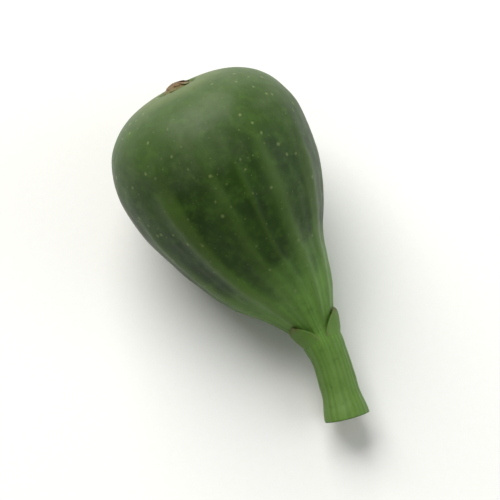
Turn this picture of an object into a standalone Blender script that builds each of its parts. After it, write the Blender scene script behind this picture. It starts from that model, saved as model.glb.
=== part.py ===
"""A fresh unripe fig with its stalk, as picked, lying on its flank. Metres, +Z up.

The crown with the eye is at -X and the cut end of the stalk at +X. The skin is a
ribbed round surface about a centreline, which is straight through the body and bends
in the neck and the stalk. Distances called "along" run down the centreline from the
crown. The fruit leans as it would lie by itself, and the surface presses a small flat
spot into its flank, under its weight.
"""

import math
import random

import bmesh
import bpy
from mathutils import Vector

MM = 0.001

# Fruit: a flattened crown, a taper that narrows to the neck, and a thin stalk
FRUIT_RADIUS = 7.95 * MM
WIDEST_ALONG = 7.0 * MM
CROWN_POWER_ALONG = 2.42
CROWN_POWER_ACROSS = 2.8
TAPER_RADIUS = 8.90 * MM
TAPER_TIP_ALONG = 23.8 * MM
TAPER_POWER = 0.8
SHOULDER_SHARPNESS = 12
STALK_RADIUS = 1.45 * MM
STALK_SHARPNESS = 5
TOTAL_LENGTH = 29.5 * MM

# The stalk widens a little at its foot, where it was cut
FOOT_FLARE = 0.30 * MM
FOOT_LENGTH = 2.2 * MM
CUT_SLANT = math.radians(12)
CUT_RIM = 0.25 * MM

# Lengthwise ribs, with a valley between two of them at the underside
RIB_COUNT = 12
RIB_HEIGHT = 0.18 * MM
RIB_WIDTH = math.radians(7.5)
RIB_START = (1.5 * MM, 7.0 * MM)
RIB_RISE = 7.0 * MM
RIB_FADE_ALONG = (16.0 * MM, 24.0 * MM)
RIB_FADE = 0.70
RIB_UNEVEN = 0.18
RIB_STRENGTH = (0.55, 1.2)
RIB_SEED = 7

# Two broad, low waves round the fruit, so that it isn't a turned shape
SWELL_HEIGHT = 0.10 * MM
SWELL_START = 0.9
SWELL_THIRD_SHARE = 0.8
SWELL_TURN_LENGTH = 5.0 * MM

# The eye: a shallow pit in the crown with a round lip
EYE_RADIUS = 1.48 * MM
EYE_FLOOR_RADIUS = 1.44 * MM
EYE_DEPTH = 0.95 * MM
LIP_RADIUS = 0.34 * MM

# Scales that close the eye: a low dome of two rings that overlap like tiles
CORE_RADIUS = 1.18 * MM
CORE_CHAMFER = 0.12 * MM
CORE_UNDER = 0.15 * MM
SCALE_GAP = 0.32 * MM
DOME_RISE = 0.20 * MM
DOME_DROP = 0.38 * MM
SCALE_ROLL = 0.25 * MM
SCALE_WIDTH_SHARE = 1.34
SCALE_STAGGER = 0.01 * MM
OUTER_SCALES = 5
OUTER_REACH = 1.15 * MM
OUTER_TIP = 0.26 * MM
OUTER_ROOT = 0.05 * MM
INNER_SCALES = 4
INNER_REACH = 0.66 * MM
INNER_TIP = 0.05 * MM
INNER_ROOT = 0.11 * MM
INNER_LIFT = 0.12 * MM
INNER_TURN = 0.37

# Three bracts at the foot of the neck
BRACT_COUNT = 3
BRACT_ALONG = 23.4 * MM
BRACT_LENGTH = 2.4 * MM
BRACT_WIDTH = 2.5 * MM
BRACT_ROOT = 0.40 * MM
BRACT_BULGE = 0.32 * MM
BRACT_BULGE_POWER = 1.2
BRACT_BULGE_SIDES = 2.2
BRACT_EDGE = 0.14 * MM
BRACT_TURN = math.radians(30)

# Outline of a bract or a scale, from its full width at the root to its tip
TONGUE_POINT = 2.3
TONGUE_ROUND = 0.75

# Centreline: where the neck bends towards level, how far it swings aside, and how
# the stalk swings back
BEND_FROM = 15.5 * MM
RISE_UNTIL = 25.0 * MM
STALK_PITCH = math.radians(-6)
SWING_ANGLE = math.radians(12)
SWING_CENTRE = 17.1 * MM
SWING_HALF = 2.8 * MM
END_SWING = math.radians(-14)
END_SWING_ALONG = (22.0 * MM, 27.0 * MM)

# How deep the surface presses into the flank
PRESS = 0.24 * MM

# Fineness of the meshes
COLUMNS = 96
LIP_ROWS = 5
CROWN_ROWS = 11
TAPER_ROWS = 19
STALK_ROWS = 7
CORE_SIDES = 20
TONGUE_ROWS = 6
TONGUE_COLUMNS = 5
SHARP_ANGLE = math.radians(40)
STEP = 0.1 * MM


def lower_of(a, b, sharpness):
    """The lower of two lengths, with a round change from one to the other."""
    if min(a, b) <= 0:
        return 0.0
    return (a**-sharpness + b**-sharpness) ** (-1 / sharpness)


def upper_of(a, b, sharpness):
    """The upper of two lengths, with a round change from one to the other."""
    return (max(a, 0.0) ** sharpness + b**sharpness) ** (1 / sharpness)


def ramp(value, start, end):
    """0 before start, 1 after end, and a smooth rise between."""
    t = min(max((value - start) / (end - start), 0.0), 1.0)
    return t * t * (3 - 2 * t)


def crown_radius(along):
    """Radius of the round crown, which keeps its width past its widest point."""
    left = max(1 - along / WIDEST_ALONG, 0.0)
    share = max(1 - left**CROWN_POWER_ALONG, 0.0)
    return FRUIT_RADIUS * share ** (1 / CROWN_POWER_ACROSS)


def crown_along(radius):
    """Where the crown has this radius: the inverse of crown_radius."""
    share = max(1 - (radius / FRUIT_RADIUS) ** CROWN_POWER_ACROSS, 0.0)
    return WIDEST_ALONG * (1 - share ** (1 / CROWN_POWER_ALONG))


def stalk_radius(along):
    """Radius of the stalk, which fades out inside the body."""
    foot = ramp(along, TOTAL_LENGTH - FOOT_LENGTH, TOTAL_LENGTH)
    inside = min(max(along / WIDEST_ALONG, 0.0), 1.0)
    return STALK_RADIUS * inside + FOOT_FLARE * foot


def skin_radius(along):
    """Radius of the fruit without its ribs."""
    left = max((TAPER_TIP_ALONG - along) / (TAPER_TIP_ALONG - WIDEST_ALONG), 0.0)
    taper = TAPER_RADIUS * left**TAPER_POWER
    body = lower_of(crown_radius(along), taper, SHOULDER_SHARPNESS)
    return upper_of(body, stalk_radius(along), STALK_SHARPNESS)


def rib_table():
    """Angle, strength and start of each rib, uneven as on a grown fruit."""
    draw = random.Random(RIB_SEED)
    ribs = []
    for i in range(RIB_COUNT):
        place = i + 0.5 + draw.uniform(-RIB_UNEVEN, RIB_UNEVEN)
        angle = 2 * math.pi * place / RIB_COUNT
        ribs.append((angle, draw.uniform(*RIB_STRENGTH), draw.uniform(*RIB_START)))
    return ribs


RIBS = rib_table()


def rib_relief(along, angle):
    """Height of the ribs over the plain skin."""
    wave = 0.0
    for rib_angle, strength, start in RIBS:
        away = math.remainder(angle - rib_angle, 2 * math.pi)
        rise = ramp(along, start, start + RIB_RISE)
        wave += strength * rise * math.exp(-((away / RIB_WIDTH) ** 2))
    return RIB_HEIGHT * wave * (1 - RIB_FADE * ramp(along, *RIB_FADE_ALONG))


def swell(along, radius, angle):
    """Height of the broad waves, which turn a little down the fruit."""
    waves = math.sin(2 * angle + SWELL_START)
    waves += SWELL_THIRD_SHARE * math.sin(3 * angle - along / SWELL_TURN_LENGTH)
    return SWELL_HEIGHT * radius / FRUIT_RADIUS * waves


def centre_of_mass_along():
    """Where along the axis the weight of the fruit is, taken as even inside."""
    volume = 0.0
    moment = 0.0
    for i in range(round(TOTAL_LENGTH / STEP)):
        along = (i + 0.5) * STEP
        slice_area = skin_radius(along) ** 2
        volume += slice_area
        moment += slice_area * along
    return moment / volume


def resting_lean():
    """Angle between the axis and the surface when the fruit lies on its flank.

    It lies still where the surface's normal at the contact runs through the weight.
    """
    weight = centre_of_mass_along()
    along = WIDEST_ALONG
    slope = 0.0
    while along + skin_radius(along) * slope < weight:
        along += STEP
        slope = (skin_radius(along + STEP) - skin_radius(along - STEP)) / (2 * STEP)
    return math.atan(-slope)


LEAN = resting_lean()


def axes_at(along):
    """Direction of the centreline, and the sideways and upward axes of its section."""
    pitch = -LEAN + (LEAN + STALK_PITCH) * ramp(along, BEND_FROM, RISE_UNTIL)
    away = (along - SWING_CENTRE) / SWING_HALF
    swing = SWING_ANGLE * math.exp(-away * away)
    swing += END_SWING * ramp(along, *END_SWING_ALONG)
    forward = Vector(
        (
            math.cos(pitch) * math.cos(swing),
            math.cos(pitch) * math.sin(swing),
            math.sin(pitch),
        )
    )
    side = Vector((-math.sin(swing), math.cos(swing), 0.0))
    return forward, side, forward.cross(side)


def centreline(along):
    """Point of the centreline, by steps from the crown."""
    point = Vector((0.0, 0.0, 0.0))
    count = max(round(abs(along) / STEP), 1)
    step = along / count
    for i in range(count):
        point += axes_at((i + 0.5) * step)[0] * step
    return point


def skin_point(along, radius, angle):
    """Point of the ribbed skin at this distance, mean radius and angle."""
    _, side, up = axes_at(along)
    radius += rib_relief(along, angle) + swell(along, radius, angle)
    across = side * math.cos(angle) + up * math.sin(angle)
    return centreline(along) + across * radius


def even(first, last, count):
    """Evenly spaced values from first to last, both included."""
    return [first + (last - first) * i / (count - 1) for i in range(count)]


def eye_rows():
    """(along, radius) from the middle of the pit over its round lip."""
    lip_at = EYE_RADIUS + LIP_RADIUS
    lip_along = crown_along(lip_at) + LIP_RADIUS
    rows = [(EYE_DEPTH, EYE_FLOOR_RADIUS * 0.5), (EYE_DEPTH, EYE_FLOOR_RADIUS)]
    for turn in even(math.pi, math.pi / 2, LIP_ROWS):
        along = lip_along - LIP_RADIUS * math.sin(turn)
        rows.append((along, lip_at + LIP_RADIUS * math.cos(turn)))
    return rows


def body_rows():
    """(along, radius) down the crown, the taper and the stalk."""
    rows = []
    beside_lip = math.asin((EYE_RADIUS + 2.5 * LIP_RADIUS) / FRUIT_RADIUS)
    for turn in even(beside_lip, math.pi / 2, CROWN_ROWS):
        along = crown_along(FRUIT_RADIUS * math.sin(turn))
        rows.append((along, skin_radius(along)))
    for along in even(WIDEST_ALONG, TAPER_TIP_ALONG, TAPER_ROWS)[1:]:
        rows.append((along, skin_radius(along)))
    for along in even(TAPER_TIP_ALONG, TOTAL_LENGTH, STALK_ROWS)[1:]:
        rows.append((along, skin_radius(along)))
    return rows


def ring_of(mesh, along, radius):
    """One ring of vertices round the centreline."""
    slant = math.tan(CUT_SLANT) * ramp(along, TOTAL_LENGTH - FOOT_LENGTH, TOTAL_LENGTH)
    ring = []
    for i in range(COLUMNS):
        angle = 2 * math.pi * i / COLUMNS
        down = along + slant * radius * math.sin(angle)
        ring.append(mesh.verts.new(skin_point(down, radius, angle)))
    return ring


def bridge(mesh, rings):
    """Side faces between neighbouring rings."""
    for upper, lower in zip(rings, rings[1:]):
        for i in range(len(upper)):
            mesh.faces.new((upper[i - 1], upper[i], lower[i], lower[i - 1]))


def close_ring(mesh, ring, middle):
    """Fan of triangles from a ring to one middle vertex."""
    for i in range(len(ring)):
        mesh.faces.new((ring[i - 1], ring[i], middle))


def fruit_mesh():
    """The whole skin from the eye's floor to the cut end, as one closed surface."""
    mesh = bmesh.new()
    rows = eye_rows() + body_rows()
    rows.append((TOTAL_LENGTH, skin_radius(TOTAL_LENGTH) - CUT_RIM))
    rings = [ring_of(mesh, along, radius) for along, radius in rows]
    bridge(mesh, rings)
    close_ring(mesh, rings[0], mesh.verts.new(centreline(EYE_DEPTH)))
    close_ring(mesh, rings[-1], mesh.verts.new(centreline(TOTAL_LENGTH)))
    bmesh.ops.recalc_face_normals(mesh, faces=mesh.faces)
    return mesh


def tongue_mesh(place):
    """A thick pointed tongue, such as a bract or a scale.

    place(t, s, h) gives a point: t runs from the root to the tip, s from side to side
    and h from the underside to the top, each as a share.
    """
    mesh = bmesh.new()
    outline = []
    for t in even(0.0, 1 - 0.5 / TONGUE_ROWS, TONGUE_ROWS):
        half = 0.5 * (1 - t**TONGUE_POINT) ** TONGUE_ROUND
        outline.append([(t, s) for s in even(-half, half, TONGUE_COLUMNS)])
    sheets = []
    for h in (0.0, 1.0):
        rows = [[mesh.verts.new(place(t, s, h)) for t, s in row] for row in outline]
        sheets.append((rows, mesh.verts.new(place(1.0, 0.0, h))))
    edges = []
    for rows, tip in sheets:
        for near, far in zip(rows, rows[1:]):
            for j in range(len(near) - 1):
                mesh.faces.new((near[j], near[j + 1], far[j + 1], far[j]))
        for j in range(len(rows[-1]) - 1):
            mesh.faces.new((rows[-1][j], rows[-1][j + 1], tip))
        left = [row[0] for row in rows[1:]]
        right = [row[-1] for row in reversed(rows[1:])]
        edges.append(rows[0][::-1] + left + [tip] + right)
    bridge(mesh, edges)
    bmesh.ops.recalc_face_normals(mesh, faces=mesh.faces)
    return mesh


def bract_mesh(angle):
    """One bract: rooted in the stalk, it leans on the neck with its tip to the crown."""

    def place(t, s, h):
        along = BRACT_ALONG - BRACT_LENGTH * t
        skin = skin_radius(along)
        bulge = BRACT_BULGE * math.sin(math.pi * t**BRACT_BULGE_POWER)
        bulge *= 1 - BRACT_BULGE_SIDES * s * s
        edge = BRACT_EDGE * (1 - 2 * (1 - t) ** 4)
        radius = skin - BRACT_ROOT + (BRACT_ROOT + bulge + edge) * h
        return skin_point(along, radius, angle + s * BRACT_WIDTH / skin)

    return tongue_mesh(place)


def dome_along(radius):
    """Top of the dome of scales, which falls to the rim."""
    return -DOME_RISE + DOME_DROP * (radius / CORE_RADIUS) ** 2


def scale_mesh(angle, reach, tip, lift, root):
    """One eye scale. It is rooted in the core, and its top is rolled to one side, so
    that it lies over the next scale there and under the other one."""
    forward, side, up = axes_at(0.0)
    out = side * math.cos(angle) + up * math.sin(angle)
    across = up * math.cos(angle) - side * math.sin(angle)
    root_along = EYE_DEPTH - SCALE_GAP - root

    def place(t, s, h):
        radius = reach + (tip - reach) * t
        wide = SCALE_WIDTH_SHARE * reach * s
        inwards = min(reach / math.hypot(radius, wide), 1.0)
        from_middle = inwards * math.hypot(radius, wide)
        top = dome_along(from_middle) - lift * t - SCALE_ROLL * s
        along = root_along + (top - root_along) * h
        return (out * radius + across * wide) * inwards + forward * along

    return tongue_mesh(place)


def scale_core_mesh():
    """The round plug under the scales, which they are rooted in."""
    forward, side, up = axes_at(0.0)
    low = EYE_DEPTH - SCALE_GAP
    halfway = CORE_RADIUS / 2
    rows = (
        (low, CORE_RADIUS - CORE_CHAMFER),
        (low - CORE_CHAMFER, CORE_RADIUS),
        (dome_along(CORE_RADIUS) + CORE_UNDER, CORE_RADIUS),
        (dome_along(halfway) + CORE_UNDER, halfway),
    )
    mesh = bmesh.new()
    rings = []
    for along, radius in rows:
        ring = []
        for i in range(CORE_SIDES):
            angle = 2 * math.pi * i / CORE_SIDES
            across = side * math.cos(angle) + up * math.sin(angle)
            ring.append(mesh.verts.new(forward * along + across * radius))
        rings.append(ring)
    bridge(mesh, rings)
    mesh.faces.new(rings[0])
    mesh.faces.new(rings[-1])
    bmesh.ops.recalc_face_normals(mesh, faces=mesh.faces)
    return mesh


def scale_meshes():
    """The scales of both rings. Each has its own reach and root, so that no two walls
    lie in one plane, and the tips stop short of the middle."""
    scales = []
    for i in range(OUTER_SCALES):
        angle = 2 * math.pi * i / OUTER_SCALES
        stagger = i * SCALE_STAGGER
        reach = OUTER_REACH - 1.5 * stagger
        tip = OUTER_TIP + 3 * stagger
        scales.append(scale_mesh(angle, reach, tip, 0.0, OUTER_ROOT + stagger))
    for i in range(INNER_SCALES):
        angle = 2 * math.pi * (i + INNER_TURN) / INNER_SCALES
        stagger = i * SCALE_STAGGER
        reach = INNER_REACH - 1.5 * stagger
        tip = INNER_TIP + 2 * stagger
        scales.append(scale_mesh(angle, reach, tip, INNER_LIFT, INNER_ROOT + stagger))
    return scales


def add_object(name, mesh, collection):
    """A new object in the collection from a bmesh, which is freed."""
    data = bpy.data.meshes.new(name)
    mesh.to_mesh(data)
    mesh.free()
    obj = bpy.data.objects.new(name, data)
    collection.objects.link(obj)
    return obj


def join_repeats(obj, meshes):
    """One Boolean union of the object with all the repeats that grow on it."""
    repeats = bpy.data.collections.new(obj.name + "_repeats")
    bpy.context.scene.collection.children.link(repeats)
    for i, mesh in enumerate(meshes):
        add_object(f"{obj.name}_repeat_{i}", mesh, repeats)
    union = obj.modifiers.new("union", "BOOLEAN")
    union.operation = "UNION"
    union.operand_type = "COLLECTION"
    union.collection = repeats
    union.solver = "EXACT"
    graph = bpy.context.evaluated_depsgraph_get()
    joined = bpy.data.meshes.new_from_object(obj.evaluated_get(graph))
    obj.modifiers.clear()
    obj.data = joined
    for repeat in list(repeats.objects):
        bpy.data.objects.remove(repeat)
    bpy.data.collections.remove(repeats)


def material(name, colour, roughness):
    """A Principled material with one colour."""
    made = bpy.data.materials.new(name)
    made.use_nodes = True
    shader = made.node_tree.nodes["Principled BSDF"]
    shader.inputs["Base Color"].default_value = (*colour, 1.0)
    shader.inputs["Roughness"].default_value = roughness
    shader.inputs["Metallic"].default_value = 0.0
    return made


def set_down(objects):
    """Moves the meshes so that the surface z = 0 presses into the flank and the
    origin is under the middle of the object's box, then flattens what is pressed."""
    points = [vertex.co for obj in objects for vertex in obj.data.vertices]
    low = Vector([min(point[i] for point in points) for i in range(3)])
    high = Vector([max(point[i] for point in points) for i in range(3)])
    shift = Vector((-(low.x + high.x) / 2, -(low.y + high.y) / 2, -low.z - PRESS))
    for obj in objects:
        for vertex in obj.data.vertices:
            vertex.co += shift
            vertex.co.z = max(vertex.co.z, 0.0)


def finish(obj, look):
    """Gives the object its material and smooth shading."""
    obj.data.materials.clear()
    obj.data.materials.append(look)
    obj.data.shade_smooth()
    obj.data.set_sharp_from_angle(angle=SHARP_ANGLE)


def build():
    for old in list(bpy.data.objects):
        bpy.data.objects.remove(old)
    scene = bpy.context.scene.collection

    fig = add_object("fig", fruit_mesh(), scene)
    bracts = []
    for i in range(BRACT_COUNT):
        bracts.append(bract_mesh(BRACT_TURN + 2 * math.pi * i / BRACT_COUNT))
    join_repeats(fig, bracts)

    eye_scales = add_object("eye_scales", scale_core_mesh(), scene)
    join_repeats(eye_scales, scale_meshes())

    set_down((fig, eye_scales))
    finish(fig, material("green_skin", (0.075, 0.135, 0.035), 0.55))
    finish(eye_scales, material("brown_scales", (0.12, 0.072, 0.028), 0.6))


build()
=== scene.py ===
"""The looks of a fresh unripe fig with its stalk, as picked, lying on its flank.

The skin follows the same formula as the solid under it: a ribbed round surface about
a centreline, which is straight through the body and bends in the neck and the stalk.
Distances called "along" run down the centreline from the crown, and angles run round
it. The crown with the eye is at -X and the cut end of the stalk at +X.
"""

import math
import random

import bpy
import numpy as np
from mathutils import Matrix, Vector

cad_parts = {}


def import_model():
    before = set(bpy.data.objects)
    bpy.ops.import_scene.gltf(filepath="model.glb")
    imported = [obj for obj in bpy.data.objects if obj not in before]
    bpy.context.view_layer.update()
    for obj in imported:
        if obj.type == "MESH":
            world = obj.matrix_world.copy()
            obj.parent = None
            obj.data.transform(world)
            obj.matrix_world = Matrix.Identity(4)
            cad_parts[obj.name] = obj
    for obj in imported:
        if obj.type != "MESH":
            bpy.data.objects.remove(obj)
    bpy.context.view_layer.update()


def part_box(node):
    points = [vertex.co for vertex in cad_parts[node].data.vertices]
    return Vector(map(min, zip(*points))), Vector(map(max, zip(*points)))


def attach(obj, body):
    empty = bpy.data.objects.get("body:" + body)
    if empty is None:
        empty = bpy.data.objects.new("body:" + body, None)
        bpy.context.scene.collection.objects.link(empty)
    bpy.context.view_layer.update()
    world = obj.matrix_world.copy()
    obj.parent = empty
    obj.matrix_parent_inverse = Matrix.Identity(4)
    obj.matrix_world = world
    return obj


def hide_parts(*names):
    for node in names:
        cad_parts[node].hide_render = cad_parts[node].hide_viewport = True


MM = 0.001

# The fruit's outline, as in the solid
FRUIT_RADIUS = 7.95 * MM
WIDEST_ALONG = 7.0 * MM
CROWN_POWER_ALONG = 2.42
CROWN_POWER_ACROSS = 2.8
TAPER_RADIUS = 8.90 * MM
TAPER_TIP_ALONG = 23.8 * MM
TAPER_POWER = 0.8
SHOULDER_SHARPNESS = 12
STALK_RADIUS = 1.45 * MM
STALK_SHARPNESS = 5
TOTAL_LENGTH = 29.5 * MM
FOOT_FLARE = 0.30 * MM
FOOT_LENGTH = 2.2 * MM
CUT_SLANT = math.radians(12)

# Main ribs and broad waves, as in the solid
RIB_COUNT = 12
RIB_HEIGHT = 0.18 * MM
RIB_WIDTH = math.radians(7.5)
RIB_START = (1.5 * MM, 7.0 * MM)
RIB_RISE = 7.0 * MM
RIB_FADE_ALONG = (16.0 * MM, 24.0 * MM)
RIB_FADE = 0.70
RIB_UNEVEN = 0.18
RIB_STRENGTH = (0.55, 1.2)
RIB_SEED = 7
SWELL_HEIGHT = 0.10 * MM
SWELL_START = 0.9
SWELL_THIRD_SHARE = 0.8
SWELL_TURN_LENGTH = 5.0 * MM

# Centreline and lean, as in the solid
BEND_FROM = 15.5 * MM
RISE_UNTIL = 25.0 * MM
STALK_PITCH = math.radians(-6)
SWING_ANGLE = math.radians(12)
SWING_CENTRE = 17.1 * MM
SWING_HALF = 2.8 * MM
END_SWING = math.radians(-14)
END_SWING_ALONG = (22.0 * MM, 27.0 * MM)
STEP = 0.1 * MM
STEPS_BEYOND_ENDS = 20

# The eye, as in the solid
EYE_RADIUS = 1.48 * MM
EYE_FLOOR_RADIUS = 1.44 * MM
EYE_DEPTH = 0.95 * MM
LIP_RADIUS = 0.34 * MM
PIT_MIDDLE_RADIUS = 0.15 * MM

# Finer relief of the skin: narrow ridges between the ribs and a soft unevenness
FINE_RIBS = 31
FINE_RIB_HEIGHT = 0.045 * MM
FINE_RIB_WIDTH = math.radians(2.6)
FINE_RIB_UNEVEN = 0.35
FINE_RIB_WANDER = math.radians(2.2)
FINE_RIB_WANDER_PACE = (3.0 * MM, 6.0 * MM)
FINE_RIB_START = (1.0 * MM, 6.0 * MM)
FINE_RIB_RISE = 4.0 * MM
FINE_RIB_END = (14.0 * MM, 23.0 * MM)
FINE_RIB_FALL = 5.0 * MM
FINE_RIB_STRENGTH = (0.3, 1.0)
FINE_RIB_TINT_SHARE = 0.4
FINE_RIB_SEED = 21
DIMPLE_HEIGHT = 0.022 * MM
DIMPLE_LENGTH = 2.6 * MM
DIMPLE_SEED = 1
PUCKER_HEIGHT = 0.004 * MM
PUCKER_LENGTH = 0.9 * MM
PUCKER_SEED = 2
CALM_ROUND_EYE = (0.3 * MM, 2.5 * MM)

# Waves in each smooth random field, and how far their lengths vary
FIELD_WAVES = 12
FIELD_WAVE_SPREAD = (0.7, 1.4)

# Grooves down the stalk, and the low collar that the bracts grow from
STALK_GROOVES = 15
STALK_GROOVE_DEPTH = 0.020 * MM
STALK_GROOVE_SWAY = 1.2
STALK_GROOVE_SWAY_LENGTH = 2.3 * MM
STALK_GROOVES_FROM = (21.9 * MM, 24.4 * MM)
STALK_GROOVE_FADE = 0.5
MINOR_GROOVES = 11
MINOR_GROOVE_START = 2.0
MINOR_GROOVE_SHARE = 0.6
GROOVE_UNEVEN = 0.35
GROOVE_UNEVEN_START = 0.4
BRACT_ALONG = 23.4 * MM
COLLAR_HEIGHT = 0.10 * MM
COLLAR_HALF = 0.7 * MM

# The cut end: a sunken face with a ring of strands round the pith
CUT_SINK = 0.10 * MM
CUT_EDGE = ((0.0, 0.985), (0.012 * MM, 0.965), (0.05 * MM, 0.945))
CUT_FACE_SHARES = (0.92, 0.05)
STRANDS = 18
STRAND_RING = 0.62
STRAND_RING_HALF = 0.07
STRAND_HEIGHT = 0.035 * MM
STRAND_CONTRAST = 0.6
PITH_HEIGHT = 0.05 * MM
PITH_HALF = 0.35
CUT_ROUGHNESS = 0.008 * MM
CUT_ROUGHNESS_LENGTH = 0.35 * MM
CUT_ROUGHNESS_SEED = 8

# Fineness of the skin
COLUMNS = 320
PIT_ROWS = 6
LIP_ROWS = 12
CROWN_ROWS = 64
TAPER_ROWS = 128
STALK_ROWS = 56
CUT_ROWS = 16

# Bracts and scales are tongues: their rows crowd towards the tip, which keeps this
# half width as a share of the whole
TONGUE_CROWDING = 1.3
TONGUE_TIP_HALF = 0.012

# Eye scales that overlap like tiles on a low dome. For each ring: how many scales,
# the radius of their roots and of their tips, how high they lie, and their width
# as a share of the root's radius
DOME_RISE = 0.17 * MM
DOME_DROP = 0.50 * MM
SCALE_RINGS = (
    (6, 1.50 * MM, 0.42 * MM, 0.00 * MM, 1.20),
    (5, 1.16 * MM, 0.24 * MM, 0.09 * MM, 1.30),
    (4, 0.80 * MM, 0.05 * MM, 0.18 * MM, 1.36),
)
SCALE_RING_TURN = 0.37
SCALE_UNEVEN = 0.07
SCALE_POINT = 1.7
SCALE_ROUNDNESS = 0.85
SCALE_THICKNESS = 0.09 * MM
SCALE_EDGE = 0.2
SCALE_THINNEST = 0.15
SCALE_ROOT_LIFT = 0.4
SCALE_ROLL = 0.20 * MM
SCALE_BEND = 0.10 * MM
SCALE_TIP_RISE = 0.07 * MM
SCALE_KEEL = 0.03 * MM
SCALE_KEEL_HALF = 0.1
SCALE_ROWS = 15
SCALE_COLUMNS = 13
SCALE_SEED = 5

# The ground under the eye scales: (depth below the dome, radius) up from its rim
GROUND_LOW = 0.63 * MM
GROUND_FOOT_RADIUS = 1.26 * MM
GROUND_ROWS = (
    (0.17 * MM, 1.40 * MM),
    (0.14 * MM, 1.05 * MM),
    (0.13 * MM, 0.60 * MM),
    (0.13 * MM, 0.05 * MM),
)
GROUND_SIDES = 48

# Bracts at the foot of the neck
BRACT_COUNT = 3
BRACT_LENGTH = 2.5 * MM
BRACT_LENGTH_SPREAD = (0.9, 1.1)
BRACT_WIDTH = 2.6 * MM
BRACT_POINT = 2.0
BRACT_ROUNDNESS = 0.75
BRACT_ROOT = 0.30 * MM
BRACT_ROOT_THINS = 1.5
BRACT_BULGE = 0.30 * MM
BRACT_BULGE_TO_TIP = 1.2
BRACT_BULGE_FALL = 2.2
BRACT_EDGE = 0.10 * MM
BRACT_ROOT_SINK = 2.6
BRACT_ROOT_SINK_POWER = 4
BRACT_TURN = math.radians(30)
BRACT_BELOW_COLLAR = 0.25 * MM
BRACT_CURL = (0.02 * MM, 0.10 * MM)
BRACT_SKEW = 0.12
BRACT_KEEL = 0.16 * MM
BRACT_KEEL_HALF = 0.06
BRACT_THICKNESS = 0.07 * MM
BRACT_ROWS = 22
BRACT_COLUMNS = 17
BRACT_SEED = 3

# Camera: direction, what its frame spans and where its middle is
CAMERA_AZIMUTH = math.radians(61)
CAMERA_ELEVATION = math.radians(76)
CAMERA_LENS = 250
SENSOR_WIDTH = 36
FRAME_WIDTH = 39 * MM
AIM_RIGHT = -0.9 * MM
AIM_UP = 1.5 * MM
AIM_NEAR = 7.0 * MM

# Lights: name, azimuth and elevation in degrees, distance and size in metres, power
# and colour
LIGHTS = (
    ("key", 178, 42, 0.55, 0.46, 4.8, (1.0, 0.99, 0.95)),
    ("fill", 60, 30, 0.60, 0.40, 1.0, (0.90, 0.97, 1.0)),
)

# The level floor, in metres, which lies a little under the part
FLOOR_HALF = 1.5
FLOOR_DROP = 0.02 * MM


def lower_of(a, b, sharpness):
    """The lower of two lengths, with a round change from one to the other."""
    a = np.maximum(a, 1e-9)
    b = np.maximum(b, 1e-9)
    return (a**-sharpness + b**-sharpness) ** (-1 / sharpness)


def upper_of(a, b, sharpness):
    """The upper of two lengths, with a round change from one to the other."""
    return (np.maximum(a, 0.0) ** sharpness + b**sharpness) ** (1 / sharpness)


def ramp(value, start, end):
    """0 before start, 1 after end, and a smooth rise between."""
    t = np.clip((value - start) / (end - start), 0.0, 1.0)
    return t * t * (3 - 2 * t)


def crown_radius(along):
    """Radius of the round crown, which keeps its width past its widest point."""
    left = np.maximum(1 - along / WIDEST_ALONG, 0.0)
    share = np.maximum(1 - left**CROWN_POWER_ALONG, 0.0)
    return FRUIT_RADIUS * share ** (1 / CROWN_POWER_ACROSS)


def crown_along(radius):
    """Where the crown has this radius: the inverse of crown_radius."""
    share = np.maximum(1 - (radius / FRUIT_RADIUS) ** CROWN_POWER_ACROSS, 0.0)
    return WIDEST_ALONG * (1 - share ** (1 / CROWN_POWER_ALONG))


def foot_share(along):
    """0 down to the stalk's foot, and then a smooth rise to 1 at the cut."""
    return ramp(along, TOTAL_LENGTH - FOOT_LENGTH, TOTAL_LENGTH)


def skin_radius(along):
    """Radius of the fruit without its ribs."""
    left = np.maximum((TAPER_TIP_ALONG - along) / (TAPER_TIP_ALONG - WIDEST_ALONG), 0.0)
    body = lower_of(crown_radius(along), TAPER_RADIUS * left**TAPER_POWER, SHOULDER_SHARPNESS)
    inside = np.clip(along / WIDEST_ALONG, 0.0, 1.0)
    stalk = STALK_RADIUS * inside + FOOT_FLARE * foot_share(along)
    return upper_of(body, stalk, STALK_SHARPNESS)


def rib_table():
    """Angle, strength and start of each main rib."""
    draw = random.Random(RIB_SEED)
    ribs = []
    for i in range(RIB_COUNT):
        place = i + 0.5 + draw.uniform(-RIB_UNEVEN, RIB_UNEVEN)
        angle = 2 * math.pi * place / RIB_COUNT
        ribs.append((angle, draw.uniform(*RIB_STRENGTH), draw.uniform(*RIB_START)))
    return ribs


def turned(angle):
    """An angle brought between -180 and 180 degrees."""
    return np.mod(angle + math.pi, 2 * math.pi) - math.pi


def rib_wave(along, angle):
    """Share of the main ribs' height at this place."""
    wave = np.zeros(np.broadcast(along, angle).shape)
    for rib_angle, strength, start in RIBS:
        rise = ramp(along, start, start + RIB_RISE)
        away = turned(angle - rib_angle) / RIB_WIDTH
        wave = wave + strength * rise * np.exp(-away * away)
    return wave


def swell(along, radius, angle):
    """Height of the broad waves, which turn a little down the fruit."""
    waves = np.sin(2 * angle + SWELL_START)
    waves = waves + SWELL_THIRD_SHARE * np.sin(3 * angle - along / SWELL_TURN_LENGTH)
    return SWELL_HEIGHT * radius / FRUIT_RADIUS * waves


def main_relief(along, radius, angle):
    """The relief that the solid has too."""
    fade = 1 - RIB_FADE * ramp(along, *RIB_FADE_ALONG)
    return RIB_HEIGHT * fade * rib_wave(along, angle) + swell(along, radius, angle)


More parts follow.
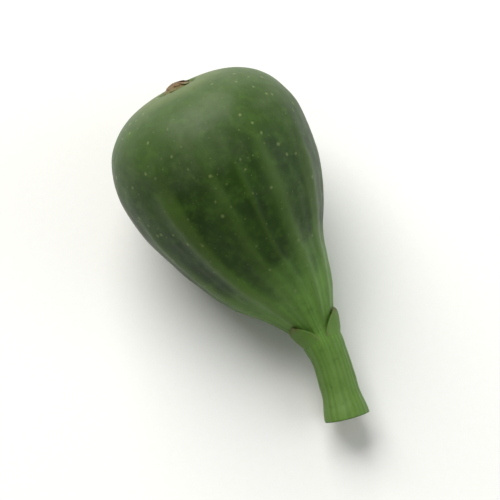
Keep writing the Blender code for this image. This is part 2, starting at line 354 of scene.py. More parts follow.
def resting_lean():
    """Angle between the axis and the surface, where the fruit's weight rests."""
    along = (np.arange(round(TOTAL_LENGTH / STEP)) + 0.5) * STEP
    area = skin_radius(along) ** 2
    weight = float((along * area).sum() / area.sum())
    place = WIDEST_ALONG
    slope = 0.0
    while place + skin_radius(place) * slope < weight:
        place += STEP
        slope = (skin_radius(place + STEP) - skin_radius(place - STEP)) / (2 * STEP)
    return math.atan(-slope)


RIBS = rib_table()
LEAN = resting_lean()


def axes_at(along):
    """Direction of the centreline, and the sideways and upward axes of its section."""
    pitch = -LEAN + (LEAN + STALK_PITCH) * ramp(along, BEND_FROM, RISE_UNTIL)
    away = (along - SWING_CENTRE) / SWING_HALF
    swing = SWING_ANGLE * np.exp(-away * away)
    swing = swing + END_SWING * ramp(along, *END_SWING_ALONG)
    flat = np.cos(pitch)
    forward = np.stack((flat * np.cos(swing), flat * np.sin(swing), np.sin(pitch)), -1)
    side = np.stack((-np.sin(swing), np.cos(swing), np.zeros_like(swing)), -1)
    return forward, side, np.cross(forward, side)


def centreline_table():
    """Distances and points of the centreline, and a little beyond both ends."""
    count = 2 * STEPS_BEYOND_ENDS + round(TOTAL_LENGTH / STEP)
    middles = (np.arange(count) - STEPS_BEYOND_ENDS + 0.5) * STEP
    points = np.cumsum(axes_at(middles)[0] * STEP, 0)
    points = points - points[STEPS_BEYOND_ENDS - 1]
    return middles + STEP / 2, points


LINE_ALONG, LINE_POINTS = centreline_table()


def centreline(along):
    """Points of the centreline at these distances."""
    return np.stack([np.interp(along, LINE_ALONG, LINE_POINTS[:, i]) for i in range(3)], -1)


def place_on(along, radius, angle):
    """Points at these distances, radii and angles round the centreline."""
    _, side, up = axes_at(along)
    across = side * np.cos(angle)[..., None] + up * np.sin(angle)[..., None]
    return centreline(along) + across * radius[..., None]


def waviness(points, length, seed):
    """A smooth random field of about this wavelength, mostly between -1 and 1."""
    draw = np.random.RandomState(seed)
    field = np.zeros(points.shape[:-1])
    for _ in range(FIELD_WAVES):
        direction = draw.normal(size=3)
        direction /= np.linalg.norm(direction)
        pace = 2 * math.pi / (length * draw.uniform(*FIELD_WAVE_SPREAD))
        field += np.sin(points @ direction * pace + draw.uniform(0, 2 * math.pi))
    return field / math.sqrt(FIELD_WAVES)


def fine_ribs(along, angle):
    """Height of the narrow ridges, each of which wanders and fades by itself."""
    draw = random.Random(FINE_RIB_SEED)
    height = np.zeros(np.broadcast(along, angle).shape)
    for i in range(FINE_RIBS):
        place = i + draw.uniform(-FINE_RIB_UNEVEN, FINE_RIB_UNEVEN)
        at = 2 * math.pi * place / FINE_RIBS
        sway = draw.uniform(0, 2 * math.pi)
        pace = draw.uniform(*FINE_RIB_WANDER_PACE)
        wander = FINE_RIB_WANDER * np.sin(along / pace + sway)
        start = draw.uniform(*FINE_RIB_START)
        end = draw.uniform(*FINE_RIB_END)
        strength = draw.uniform(*FINE_RIB_STRENGTH)
        strength = strength * ramp(along, start, start + FINE_RIB_RISE)
        strength = strength * (1 - ramp(along, end, end + FINE_RIB_FALL))
        away = turned(angle - at - wander) / FINE_RIB_WIDTH
        height = height + strength * np.exp(-away * away)
    return FINE_RIB_HEIGHT * height


def stalk_relief(along, angle):
    """Grooves down the stalk, of uneven depth, and the collar at its top."""
    sway = STALK_GROOVE_SWAY * np.sin(along / STALK_GROOVE_SWAY_LENGTH)
    grooves = np.sin(STALK_GROOVES * angle + sway)
    minor = np.sin(MINOR_GROOVES * angle + MINOR_GROOVE_START)
    grooves = grooves + MINOR_GROOVE_SHARE * minor
    uneven = GROOVE_UNEVEN * np.sin(2 * angle + GROOVE_UNEVEN_START)
    grooves = grooves * (1 - GROOVE_UNEVEN + uneven)
    grooves = grooves * (1 - STALK_GROOVE_FADE * foot_share(along))
    on_stalk = ramp(along, *STALK_GROOVES_FROM)
    away = (along - BRACT_ALONG) / COLLAR_HALF
    collar = COLLAR_HEIGHT * np.exp(-away * away)
    return collar - STALK_GROOVE_DEPTH * on_stalk * grooves


def skin_relief(along, radius, angle):
    """The whole relief of the skin over the mean radius."""
    plain = place_on(along, skin_radius(along), angle)
    uneven = DIMPLE_HEIGHT * waviness(plain, DIMPLE_LENGTH, DIMPLE_SEED)
    uneven = uneven + PUCKER_HEIGHT * waviness(plain, PUCKER_LENGTH, PUCKER_SEED)
    relief = main_relief(along, radius, angle) + ramp(along, *CALM_ROUND_EYE) * uneven
    return relief + fine_ribs(along, angle) + stalk_relief(along, angle)


def even(first, last, count):
    """Evenly spaced values from first to last, both included."""
    return [first + (last - first) * i / (count - 1) for i in range(count)]


def skin_rows():
    """(along, radius) from the middle of the pit over its lip and down to the cut."""
    lip_at = EYE_RADIUS + LIP_RADIUS
    lip_along = float(crown_along(lip_at)) + LIP_RADIUS
    rows = [(EYE_DEPTH, r) for r in even(PIT_MIDDLE_RADIUS, EYE_FLOOR_RADIUS, PIT_ROWS)]
    for turn in even(math.pi, math.pi / 2, LIP_ROWS):
        along = lip_along - LIP_RADIUS * math.sin(turn)
        rows.append((along, lip_at + LIP_RADIUS * math.cos(turn)))
    beside_lip = math.asin((lip_at + LIP_RADIUS / 4) / FRUIT_RADIUS)
    for turn in even(beside_lip, math.pi / 2, CROWN_ROWS):
        along = float(crown_along(FRUIT_RADIUS * math.sin(turn)))
        rows.append((along, float(skin_radius(along))))
    for along in even(WIDEST_ALONG, TAPER_TIP_ALONG, TAPER_ROWS)[1:]:
        rows.append((along, float(skin_radius(along))))
    for along in even(TAPER_TIP_ALONG, TOTAL_LENGTH, STALK_ROWS)[1:]:
        rows.append((along, float(skin_radius(along))))
    return np.array(rows)


def cut_rows():
    """(sink, share of the radius) from the rim of the cut to its middle."""
    rows = list(CUT_EDGE)
    for share in even(*CUT_FACE_SHARES, CUT_ROWS):
        rows.append((CUT_SINK, share))
    return rows


def grid_faces(rows, columns):
    """Quads of a closed band of rows."""
    faces = []
    for row in range(rows - 1):
        start = row * columns
        for i in range(columns):
            j = (i + 1) % columns
            faces.append((start + i, start + columns + i, start + columns + j, start + j))
    return faces


def store(mesh, name, values):
    """Keeps one number for each vertex of the mesh, for its material."""
    field = mesh.attributes.new(name, "FLOAT", "POINT")
    field.data.foreach_set("value", np.asarray(values, np.float32).ravel())


def new_piece(name, points, faces):
    """An object from points and faces, shaded smooth."""
    mesh = bpy.data.meshes.new(name)
    mesh.from_pydata([tuple(point) for point in points], [], faces)
    mesh.update()
    mesh.shade_smooth()
    piece = bpy.data.objects.new(name, mesh)
    bpy.context.scene.collection.objects.link(piece)
    return piece


def plain_grid():
    """Distance, radius and angle of each point of the skin, by rows, without relief."""
    rows = skin_rows()
    angle = np.arange(COLUMNS) * 2 * math.pi / COLUMNS
    along, angle = np.meshgrid(rows[:, 0], angle, indexing="ij")
    radius = np.repeat(rows[:, 1:], COLUMNS, 1)
    slant = math.tan(CUT_SLANT) * foot_share(along)
    return along + slant * radius * np.sin(angle), radius, angle


def skin_grid():
    """Points of the skin by rows, with each point's distance and angle."""
    along, radius, angle = plain_grid()
    in_pit = np.arange(len(along)) < PIT_ROWS + LIP_ROWS
    plain = main_relief(along, radius, angle)
    relief = np.where(in_pit[:, None], plain, skin_relief(along, radius, angle))
    return place_on(along, radius + relief, angle), along, angle


def cut_grid(edge, angle):
    """Points of the cut face inside the skin's last row, and its middle point."""
    middle = edge.mean(0)
    inwards = centreline(np.array(TOTAL_LENGTH - MM)) - middle
    inwards = inwards / np.linalg.norm(inwards)
    rows = []
    for sink, share in cut_rows():
        flat = middle + (edge - middle) * share
        strands = STRAND_HEIGHT * math.exp(-(((share - STRAND_RING) / STRAND_RING_HALF) ** 2))
        strands = strands * (1 - STRAND_CONTRAST + STRAND_CONTRAST * np.cos(STRANDS * angle))
        pith = PITH_HEIGHT * math.exp(-((share / PITH_HALF) ** 2))
        down = sink - strands - pith
        if sink == CUT_SINK:
            rough = waviness(flat, CUT_ROUGHNESS_LENGTH, CUT_ROUGHNESS_SEED)
            down = down + CUT_ROUGHNESS * rough
        rows.append(flat + inwards * down[:, None])
    return np.array(rows), middle + inwards * (CUT_SINK - PITH_HEIGHT)


def skin_faces(count):
    """Quads between this many rows, and a fan at each end. Their middles come last."""
    faces = grid_faces(count, COLUMNS)
    first = count * COLUMNS
    last_row = first - COLUMNS
    for i in range(COLUMNS):
        j = (i + 1) % COLUMNS
        faces.append((i, j, first))
        faces.append((last_row + j, last_row + i, first + 1))
    return faces


def store_skin_shares(piece, along, angle):
    """Keeps how far along each point is, its share of a crest, and its place on the cut."""
    count = len(piece.data.vertices)
    share = np.full(count, 1.0)
    share[: along.size] = np.clip(along.ravel() / TOTAL_LENGTH, 0, 1)
    rib = np.zeros(count)
    fine = fine_ribs(along, angle) / FINE_RIB_HEIGHT
    crests = rib_wave(along, angle) + FINE_RIB_TINT_SHARE * fine
    rib[: along.size] = crests.ravel()
    from_pith = np.zeros(count)
    radii = np.repeat([row[1] for row in cut_rows()], COLUMNS)
    from_pith[along.size : along.size + radii.size] = radii
    store(piece.data, "along", share)
    store(piece.data, "rib", rib)
    store(piece.data, "from_pith", from_pith)


def make_skin():
    """The skin from the pit of the eye to the cut end, closed, with its cut face."""
    grid, along, angle = skin_grid()
    cut, cut_middle = cut_grid(grid[-1], angle[-1])
    points = np.concatenate((grid, cut)).reshape(-1, 3)
    pit_middle = centreline(np.array(EYE_DEPTH))
    points = np.concatenate((points, [pit_middle, cut_middle]))
    count = len(grid) + len(cut)
    piece = new_piece("fig_skin", points, skin_faces(count))
    store_skin_shares(piece, along, angle)
    first_cut_face = (len(grid) - 1) * COLUMNS
    last_quad = (count - 1) * COLUMNS
    slots = np.zeros(len(piece.data.polygons), np.int32)
    slots[first_cut_face:last_quad] = 1
    slots[last_quad + 1 :: 2] = 1
    piece.data.materials.append(skin_material())
    piece.data.materials.append(cut_material())
    piece.data.polygons.foreach_set("material_index", slots)
    return piece


def tongue(place, rows, columns, point, roundness):
    """Points and faces of a thick pointed tongue with its (t, s) places.

    place(t, s, h) gives points: t runs from the root to the tip, s from side to side
    and h from the underside to the top, each as a share.
    """
    t = 1 - (1 - np.array(even(0.0, 1.0, rows))) ** TONGUE_CROWDING
    half = 0.5 * np.maximum(1 - t**point, 0.0) ** roundness
    half[-1] = TONGUE_TIP_HALF
    s = half[:, None] * np.array(even(-1.0, 1.0, columns))[None, :]
    t = np.repeat(t[:, None], columns, 1)
    top = place(t, s, 1.0)
    under = place(t, s, 0.0)
    points = np.concatenate((under.reshape(-1, 3), top.reshape(-1, 3)))
    size = rows * columns
    faces = []
    for i in range(rows - 1):
        for j in range(columns - 1):
            a = i * columns + j
            quad = (a, a + 1, a + columns + 1, a + columns)
            faces.append(tuple(reversed(quad)))
            faces.append(tuple(size + k for k in quad))
    edge = list(range(columns))
    edge += [i * columns + columns - 1 for i in range(1, rows)]
    edge += [(rows - 1) * columns + j for j in range(columns - 2, -1, -1)]
    edge += [i * columns for i in range(rows - 2, 0, -1)]
    for k in range(len(edge)):
        a = edge[k]
        b = edge[(k + 1) % len(edge)]
        faces.append((a, b, size + b, size + a))
    return points, faces, np.tile(t.ravel(), 2), np.tile(s.ravel(), 2)


def gather(name, tongues):
    """One piece of several tongues, with t, s and a number for each tongue stored."""
    points = []
    faces = []
    shares = []
    sides = []
    tints = []
    start = 0
    draw = random.Random(len(tongues))
    for tongue_points, tongue_faces, t, s in tongues:
        points.append(tongue_points)
        faces += [tuple(start + k for k in face) for face in tongue_faces]
        shares.append(t)
        sides.append(s)
        tints.append(np.full(len(t), draw.uniform(0, 1)))
        start += len(tongue_points)
    piece = new_piece(name, np.concatenate(points), faces)
    store(piece.data, "to_tip", np.concatenate(shares))
    store(piece.data, "to_side", np.concatenate(sides))
    store(piece.data, "tint", np.concatenate(tints))
    return piece


def bract(turn, length, curl, skew):
    """One bract, with its tip towards the crown and a keel down its middle."""

    def place(t, s, h):
        along = BRACT_ALONG + BRACT_BELOW_COLLAR - length * t
        skin = skin_radius(along)
        angle = turn + (s + skew * t * t) * BRACT_WIDTH / skin
        keel = BRACT_KEEL * np.exp(-((s / BRACT_KEEL_HALF) ** 2)) * (1 - t) * t
        bulge = BRACT_BULGE * np.sin(math.pi * t**BRACT_BULGE_TO_TIP)
        bulge = bulge * (1 - BRACT_BULGE_FALL * s * s)
        sink = BRACT_ROOT_SINK * (1 - t) ** BRACT_ROOT_SINK_POWER
        lift = BRACT_EDGE * (1 - sink) + curl * t**3
        thickness = BRACT_ROOT * (1 - t) ** BRACT_ROOT_THINS + BRACT_THICKNESS
        radius = skin + bulge + lift + keel - thickness * (1 - h)
        return place_on(along, radius + main_relief(along, radius, angle), angle)

    return tongue(place, BRACT_ROWS, BRACT_COLUMNS, BRACT_POINT, BRACT_ROUNDNESS)


def make_bracts():
    """Three bracts that grow from the collar and lean on the neck."""
    draw = random.Random(BRACT_SEED)
    bracts = []
    for i in range(BRACT_COUNT):
        turn = BRACT_TURN + 2 * math.pi * i / BRACT_COUNT
        length = BRACT_LENGTH * draw.uniform(*BRACT_LENGTH_SPREAD)
        curl = draw.uniform(*BRACT_CURL)
        bracts.append(bract(turn, length, curl, draw.uniform(-BRACT_SKEW, BRACT_SKEW)))
    piece = gather("neck_bracts", bracts)
    piece.data.materials.append(bract_material())
    return piece


def dome_along(radius):
    """Top of the dome of scales, which falls to the rim."""
    return -DOME_RISE + DOME_DROP * (radius / EYE_RADIUS) ** 2


def eye_scale(turn, ring, bend, tip_rise):
    """One pointed scale of a ring, rolled so that it lies over its neighbour."""
    _, reach, tip, lift, broad = ring
    forward, side, up = axes_at(np.array(0.0))
    out = side * math.cos(turn) + up * math.sin(turn)
    across = up * math.cos(turn) - side * math.sin(turn)

    def place(t, s, h):
        radius = reach + (tip - reach) * t
        wide = broad * reach * s + bend * t * t
        far = np.hypot(radius, wide)
        inwards = np.minimum(reach / far, 1.0)
        keel = SCALE_KEEL * np.exp(-((s / SCALE_KEEL_HALF) ** 2)) * (1 - t)
        rise = lift * (SCALE_ROOT_LIFT + (1 - SCALE_ROOT_LIFT) * t) + tip_rise * t**3 + keel
        top = dome_along(far * inwards) - rise - SCALE_ROLL * s
        edge = np.clip((0.5 - np.abs(s)) / SCALE_EDGE, SCALE_THINNEST, 1.0)
        along = top + SCALE_THICKNESS * edge * (1 - h)
        flat = (radius * inwards)[..., None] * out + (wide * inwards)[..., None] * across
        return flat + along[..., None] * forward

    return tongue(place, SCALE_ROWS, SCALE_COLUMNS, SCALE_POINT, SCALE_ROUNDNESS)


def make_eye_scales():
    """Three rings of pointed scales that lie over each other and close the eye."""
    draw = random.Random(SCALE_SEED)
    scales = []
    for level, ring in enumerate(SCALE_RINGS):
        count = ring[0]
        for i in range(count):
            place = i + SCALE_RING_TURN * level + draw.uniform(-SCALE_UNEVEN, SCALE_UNEVEN)
            bend = draw.uniform(-SCALE_BEND, SCALE_BEND)
            tip_rise = draw.uniform(0.0, SCALE_TIP_RISE)
            scales.append(eye_scale(2 * math.pi * place / count, ring, bend, tip_rise))
    piece = gather("eye_rosette", scales)
    forward = axes_at(np.array(0.0))[0]
    points = np.array([vertex.co for vertex in piece.data.vertices])
    aside = points - np.outer(points @ forward, forward)
    store(piece.data, "from_middle", np.linalg.norm(aside, axis=1) / EYE_RADIUS)
    piece.data.materials.append(scale_material())
    return piece


def make_eye_ground():
    """The dark olive ground that the eye scales grow from."""
    forward, side, up = axes_at(np.array(0.0))
    rows = [(GROUND_LOW, GROUND_FOOT_RADIUS)]
    rows += [(dome_along(radius) + below, radius) for below, radius in GROUND_ROWS]
    angle = np.arange(GROUND_SIDES) * 2 * math.pi / GROUND_SIDES
    across = np.cos(angle)[:, None] * side + np.sin(angle)[:, None] * up
    points = np.concatenate([across * radius + forward * along for along, radius in rows])
    faces = grid_faces(len(rows), GROUND_SIDES)
    faces.append(tuple(range(GROUND_SIDES)))
    faces.append(tuple(reversed(range(len(points) - GROUND_SIDES, len(points)))))
    piece = new_piece("eye_ground", points, faces)
    piece.data.materials.append(ground_material())
    return piece


class Tree:
    """A material's nodes, made by short calls. A value may be a number or a socket."""

    def __init__(self, name):
        self.material = bpy.data.materials.new(name)
        self.material.use_nodes = True
        self.nodes = self.material.node_tree.nodes
        self.links = self.material.node_tree.links
        self.shader = self.nodes["Principled BSDF"]

    def put(self, socket, value):
        if isinstance(value, bpy.types.NodeSocket):
            self.links.new(value, socket)
        else:
            socket.default_value = value

    def node(self, kind, inputs=None, **settings):
        made = self.nodes.new(kind)
        for key, value in settings.items():
            setattr(made, key, value)
        for key, value in (inputs or {}).items():
            self.put(made.inputs[key], value)
        return made

    def place(self):
        return self.node("ShaderNodeTexCoord").outputs["Object"]

    def stored(self, name):
        return self.node("ShaderNodeAttribute", attribute_name=name).outputs["Fac"]

    def noise(self, length, detail=2.0, roughness=0.5):
        """Soft noise from 0 to 1 with blots of about this length."""
        inputs = {
            "Vector": self.place(),
            "Scale": 1 / length,
            "Detail": detail,
            "Roughness": roughness,
        }
        return self.node("ShaderNodeTexNoise", inputs).outputs["Fac"]

    def stretch(self, value, low, high, to_low=0.0, to_high=1.0):
        """value brought from low..high to to_low..to_high, smoothly and clamped."""
        inputs = {
            "Value": value,
            "From Min": low,
            "From Max": high,
            "To Min": to_low,
            "To Max": to_high,
        }
        kind = "ShaderNodeMapRange"
        return self.node(kind, inputs, interpolation_type="SMOOTHSTEP").outputs["Result"]

    def math(self, operation, a, b):
        return self.node("ShaderNodeMath", {0: a, 1: b}, operation=operation).outputs[0]

    def times(self, value, factor):
        return self.math("MULTIPLY", value, factor)

    def mix(self, share, a, b):
        """Colour a turned to b by this share."""
        return self.node("ShaderNodeMix", {0: share, 6: a, 7: b}, data_type="RGBA").outputs[2]

    def bump(self, height, depth, below=None):
        """A normal for relief of this depth, added to one below."""
        inputs = {"Height": height, "Distance": depth, "Strength": 1.0}
        if below is not None:
            inputs["Normal"] = below
        return self.node("ShaderNodeBump", inputs).outputs["Normal"]

    def finish(self, **sockets):
        for name, value in sockets.items():
            self.put(self.shader.inputs[name.replace("_", " ")], value)
        return self.material


def rgb(red, green, blue):
    return (red, green, blue, 1.0)


def flecks(tree, spacing, size, offset):
    """Soft uneven spots from 0 to 1 at scattered places, of up to this radius."""
    swirl = tree.node("ShaderNodeTexNoise", {"Vector": tree.place(), "Scale": 3 / spacing})
    moved = tree.node(
        "ShaderNodeVectorMath",
        {0: swirl.outputs["Color"], 1: (size, size, size), 2: tree.place()},
        operation="MULTIPLY_ADD",
    )
    shifted = tree.node(
        "ShaderNodeVectorMath", {0: moved.outputs[0], 1: (offset, 0, 0)}, operation="ADD"
    )
    inputs = {"Vector": shifted.outputs[0], "Scale": 1 / spacing, "Randomness": 0.85}
    cells = tree.node("ShaderNodeTexVoronoi", inputs)
    chance = tree.node("ShaderNodeSeparateColor", {"Color": cells.outputs["Color"]})
    largest = size / spacing
    smallest = 0.25 * largest
    reach = tree.stretch(chance.outputs["Red"], 0.1, 1.0, smallest, largest)
    inside = tree.math("SUBTRACT", reach, cells.outputs["Distance"])
    return tree.stretch(inside, -0.4 * largest, 0.5 * largest)


def skin_material():
    """Dark satin green, greyer at the crown with bloom and painted light, paler down the
    neck.
    """
    tree = Tree("green_fig_skin")
    along = tree.stored("along")
    rib = tree.stored("rib")

    body = rgb(0.020, 0.057, 0.0018)
    deep = rgb(0.011, 0.035, 0.0008)
    # The crown's lighter grey-green is partly its own bloom tone and partly painted light
    # from above
    crown = rgb(0.047, 0.087, 0.020)
    neck = rgb(0.118, 0.243, 0.040)
    stalk = rgb(0.104, 0.200, 0.038)
    eye_ring = rgb(0.115, 0.150, 0.036)
    crest_green = rgb(0.074, 0.140, 0.020)
    blot_green = rgb(0.060, 0.124, 0.015)
    fleck_pale = rgb(0.190, 0.250, 0.085)
    bloom_grey = rgb(0.150, 0.190, 0.105)
    eye_ring_ends = (0.020, 0.004)
    crown_ends = (0.27, 0.03)
    bloom_ends = (0.50, 0.03)
    neck_begins = (0.47, 0.68)
    stalk_begins = (0.76, 0.86)

    drifts = tree.stretch(tree.noise(3.2 * MM, 3.0, 0.55), 0.35, 0.65)
    colour = tree.mix(drifts, deep, body)
    # Turns the crown end lighter and greyer: its own tone and painted light together
    colour = tree.mix(tree.stretch(along, *crown_ends), colour, crown)
    drift = tree.stretch(tree.noise(2.2 * MM, 3.0, 0.6), 0.3, 0.7, -0.03, 0.03)
    drift = tree.math("ADD", drift, tree.times(rib, 0.05))
    towards_neck = tree.math("ADD", along, drift)
    colour = tree.mix(tree.stretch(towards_neck, *neck_begins), colour, neck)
    colour = tree.mix(tree.stretch(along, *stalk_begins), colour, stalk)

    round_eye = tree.times(tree.stretch(along, *eye_ring_ends), 0.55)
    colour = tree.mix(round_eye, colour, eye_ring)

    crest = tree.times(tree.stretch(rib, 0.15, 1.1), 0.55)
    colour = tree.mix(crest, colour, crest_green)
    valley = tree.times(tree.stretch(rib, 0.15, 0.0), 0.20)
    colour = tree.mix(valley, colour, deep)

    blots = tree.stretch(tree.noise(0.8 * MM, 4.0, 0.62), 0.46, 0.74)
    colour = tree.mix(tree.times(blots, 0.40), colour, blot_green)
    dark = tree.stretch(tree.noise(0.45 * MM, 4.0, 0.62), 0.56, 0.80)
    colour = tree.mix(tree.times(dark, 0.35), colour, deep)

    spots = flecks(tree, 0.95 * MM, 0.15 * MM, 0.0)
    dots = tree.times(flecks(tree, 0.42 * MM, 0.06 * MM, 0.5), 0.7)
    pale = tree.math("MAXIMUM", spots, dots)
    pale = tree.times(pale, tree.stretch(along, 0.90, 0.72, 0.25, 1.0))
    colour = tree.mix(tree.times(pale, 0.50), colour, fleck_pale)

    bloom = tree.stretch(tree.noise(4.0 * MM, 4.0, 0.62), 0.40, 0.75)
    bloom = tree.times(bloom, tree.stretch(along, *bloom_ends))
    colour = tree.mix(tree.times(bloom, 0.26), colour, bloom_grey)

    rough = tree.stretch(tree.noise(0.9 * MM, 4.0, 0.6), 0.3, 0.7, 0.43, 0.50)
    rough = tree.math("ADD", rough, tree.times(bloom, 0.10))

    normal = tree.bump(tree.noise(0.13 * MM, 3.0, 0.6), 0.006 * MM)
    normal = tree.bump(tree.noise(0.4 * MM, 3.0, 0.55), 0.008 * MM, normal)
    normal = tree.bump(pale, 0.012 * MM, normal)

    tree.shader.inputs["Subsurface Weight"].default_value = 0.06
    tree.shader.inputs["Subsurface Radius"].default_value = (0.6, 1.0, 0.2)
    tree.shader.inputs["Subsurface Scale"].default_value = 0.4 * MM
    tree.shader.inputs["Specular IOR Level"].default_value = 0.22
    tree.shader.inputs["Sheen Weight"].default_value = 0.04
    tree.shader.inputs["Sheen Roughness"].default_value = 0.4
    tree.shader.inputs["Sheen Tint"].default_value = rgb(0.80, 0.92, 0.75)
    return tree.finish(Base_Color=colour, Roughness=rough, Normal=normal)


def cut_material():
    """Pale moist flesh with a green edge and a darker ring of strands."""
    tree = Tree("pale_cut_stalk")
    flesh = rgb(0.50, 0.52, 0.27)
    pale_flesh = rgb(0.68, 0.66, 0.42)
    strand_olive = rgb(0.30, 0.30, 0.10)
    edge_green = rgb(0.16, 0.24, 0.06)
    stain = rgb(0.24, 0.14, 0.05)

    out = tree.stored("from_pith")
    fibre = tree.noise(0.12 * MM, 4.0, 0.65)
    colour = tree.mix(fibre, flesh, pale_flesh)
    ring = tree.times(tree.stretch(out, 0.74, 0.62), tree.stretch(out, 0.50, 0.60))
    colour = tree.mix(tree.times(ring, 0.55), colour, strand_olive)
    colour = tree.mix(tree.stretch(out, 0.80, 0.98), colour, edge_green)
    brown = tree.times(tree.stretch(tree.noise(0.5 * MM), 0.55, 0.75), 0.5)
    colour = tree.mix(brown, colour, stain)
    normal = tree.bump(fibre, 0.02 * MM)
    tree.shader.inputs["Subsurface Weight"].default_value = 0.2
    tree.shader.inputs["Subsurface Radius"].default_value = (1.0, 0.9, 0.5)
    tree.shader.inputs["Subsurface Scale"].default_value = 0.4 * MM
    rough = tree.stretch(fibre, 0.3, 0.7, 0.30, 0.55)
    return tree.finish(Base_Color=colour, Roughness=rough, Normal=normal)


def bract_material():
    """Stalk green at the root, painted lighter there against its shade; dry brown tip, pale
    edge.
    """
    tree = Tree("bract_skin")
    dull_green = rgb(0.080, 0.158, 0.024)
    fresh_green = rgb(0.118, 0.222, 0.038)
    # Painted light: a green lighter than the stalk's, to offset the shade at the bract's root
    root_green_painted_lighter = rgb(0.126, 0.246, 0.042)
    dry_brown = rgb(0.110, 0.090, 0.028)
    edge_tan = rgb(0.170, 0.150, 0.070)

    to_tip = tree.stored("to_tip")
    aside = tree.math("ABSOLUTE", tree.stored("to_side"), 0.0)
    blots = tree.noise(0.4 * MM, 4.0, 0.62)
    colour = tree.mix(blots, dull_green, fresh_green)
    # Painted light: the root turns to that lighter green, against the shade where the bract
    # rises
    root = tree.stretch(to_tip, 0.62, 0.12)
    colour = tree.mix(root, colour, root_green_painted_lighter)
    worn = tree.math("ADD", to_tip, tree.times(blots, 0.35))
    dry = tree.times(tree.stretch(worn, 0.86, 1.22), 0.85)
    colour = tree.mix(dry, colour, dry_brown)
    edge = tree.times(tree.stretch(aside, 0.34, 0.49), 0.45)
    colour = tree.mix(edge, colour, edge_tan)
    normal = tree.bump(tree.noise(0.12 * MM, 3.0, 0.6), 0.014 * MM)
    rough = tree.stretch(blots, 0.3, 0.7, 0.5, 0.66)
    tree.shader.inputs["Specular IOR Level"].default_value = 0.3
    return tree.finish(Base_Color=colour, Roughness=rough, Normal=normal)


def scale_material():
    """Olive brown scales, greener towards the rim and tan at the thin edge."""
    tree = Tree("brown_eye_scales")
    brown = rgb(0.105, 0.062, 0.024)
    light_brown = rgb(0.140, 0.088, 0.034)
    rim_green = rgb(0.085, 0.125, 0.028)
    edge_tan = rgb(0.200, 0.145, 0.070)
    blot_brown = rgb(0.050, 0.026, 0.010)
    tip_brown = rgb(0.060, 0.028, 0.012)

    to_tip = tree.stored("to_tip")
    aside = tree.math("ABSOLUTE", tree.stored("to_side"), 0.0)
    tint = tree.stored("tint")
    from_middle = tree.stored("from_middle")
    colour = tree.mix(tint, brown, light_brown)
    rim = tree.times(tree.stretch(from_middle, 0.45, 1.0), 0.9)
    colour = tree.mix(rim, colour, rim_green)
    edge = tree.times(tree.stretch(aside, 0.36, 0.49), 0.45)
    colour = tree.mix(edge, colour, edge_tan)
    blots = tree.noise(0.16 * MM, 4.0, 0.6)
    colour = tree.mix(tree.stretch(blots, 0.5, 0.8, 0.0, 0.6), colour, blot_brown)
    tip = tree.times(tree.stretch(to_tip, 0.80, 1.0), 0.6)
    colour = tree.mix(tip, colour, tip_brown)
    normal = tree.bump(blots, 0.016 * MM)
    rough = tree.stretch(blots, 0.3, 0.7, 0.48, 0.64)
    tree.shader.inputs["Specular IOR Level"].default_value = 0.3
    return tree.finish(Base_Color=colour, Roughness=rough, Normal=normal)


def ground_material():
    """Dark olive ground under the eye scales."""
    tree = Tree("dark_eye_ground")
    blots = tree.noise(0.2 * MM, 3.0, 0.6)
    colour = tree.mix(blots, rgb(0.030, 0.030, 0.010), rgb(0.070, 0.055, 0.020))
    normal = tree.bump(blots, 0.02 * MM)
    return tree.finish(Base_Color=colour, Roughness=0.7, Normal=normal)


def floor_material():
    """Matt near-white board with a very faint tooth."""
    tree = Tree("pale_floor")
    tooth = tree.noise(0.6 * MM, 3.0, 0.6)
    colour = tree.mix(tooth, rgb(0.80, 0.80, 0.79), rgb(0.83, 0.83, 0.82))
    return tree.finish(Base_Color=colour, Roughness=0.85)


def make_floor():
    """A wide level floor just under the part."""
    around = ((-1, -1), (1, -1), (1, 1), (-1, 1))
    corners = [(x * FLOOR_HALF, y * FLOOR_HALF, -FLOOR_DROP) for x, y in around]
    floor = new_piece("floor", corners, [(0, 1, 2, 3)])
    floor.data.materials.append(floor_material())


def set_down(pieces, skin_box):
    """Moves the pieces to where the solid lies and flattens what the surface presses."""
    low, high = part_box("fig")
    shift = np.array(
        (
            (low.x + high.x - skin_box[0][0] - skin_box[1][0]) / 2,
            (low.y + high.y - skin_box[0][1] - skin_box[1][1]) / 2,
            high.z - skin_box[1][2],
        )
    )
    for piece in pieces:
        points = np.array([vertex.co for vertex in piece.data.vertices]) + shift
        points[:, 2] = np.maximum(points[:, 2], 0.0)
        piece.data.vertices.foreach_set("co", points.ravel())
        piece.data.update()


def plain_box():
    """Box of the skin with only the relief that the solid has."""
    along, radius, angle = plain_grid()
    points = place_on(along, radius + main_relief(along, radius, angle), angle)
    points = points.reshape(-1, 3)
    return points.min(0), points.max(0)


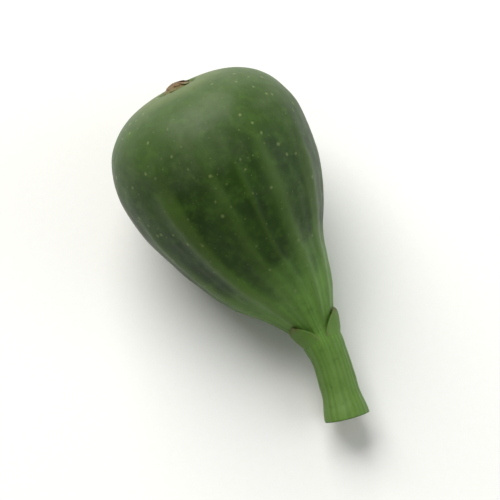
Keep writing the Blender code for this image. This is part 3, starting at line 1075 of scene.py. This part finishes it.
def view_axes():
    """Right, up and back of the camera's picture."""
    az = CAMERA_AZIMUTH
    el = CAMERA_ELEVATION
    right = Vector((math.cos(az), math.sin(az), 0.0))
    back = Vector((math.sin(az) * math.cos(el), -math.cos(az) * math.cos(el), math.sin(el)))
    return right, back.cross(right), back


def make_camera():
    """A long lens that looks down on the fig, crown to the upper left."""
    right, up, back = view_axes()
    data = bpy.data.cameras.new("camera")
    data.lens = CAMERA_LENS
    data.sensor_width = SENSOR_WIDTH
    data.clip_start = 0.01
    camera = bpy.data.objects.new("camera", data)
    bpy.context.scene.collection.objects.link(camera)
    aim = right * AIM_RIGHT + up * AIM_UP + back * AIM_NEAR
    camera.location = aim + back * (CAMERA_LENS / SENSOR_WIDTH * FRAME_WIDTH)
    camera.rotation_mode = "QUATERNION"
    camera.rotation_quaternion = (-back).to_track_quat("-Z", "Y")
    bpy.context.scene.camera = camera


def make_light(name, azimuth, elevation, distance, size, power, colour):
    """A square soft light that faces the origin. Azimuth 0 is at +X and 90 at +Y."""
    data = bpy.data.lights.new(name, "AREA")
    data.size = size
    data.energy = power
    data.color = colour
    light = bpy.data.objects.new(name, data)
    bpy.context.scene.collection.objects.link(light)
    az = math.radians(azimuth)
    el = math.radians(elevation)
    towards = Vector((math.cos(az) * math.cos(el), math.sin(az) * math.cos(el), math.sin(el)))
    light.location = towards * distance
    light.rotation_mode = "QUATERNION"
    light.rotation_quaternion = (-towards).to_track_quat("-Z", "Y")


def make_lights():
    """A soft key from the crown's side, a weak cool fill, and the room's even light."""
    for light in LIGHTS:
        make_light(*light)
    world = bpy.data.worlds.new("room")
    world.use_nodes = True
    sky = world.node_tree.nodes["Background"]
    sky.inputs["Color"].default_value = rgb(1.0, 1.0, 0.97)
    sky.inputs["Strength"].default_value = 0.32
    bpy.context.scene.world = world
    bpy.context.scene.view_settings.view_transform = "Standard"


def main():
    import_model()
    skin = make_skin()
    bracts = make_bracts()
    scales = make_eye_scales()
    ground = make_eye_ground()
    set_down((skin, bracts, scales, ground), plain_box())
    for piece in (skin, bracts, scales, ground):
        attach(piece, "root")
    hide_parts("fig")
    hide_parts("eye_scales")
    make_floor()
    make_lights()
    make_camera()


main()
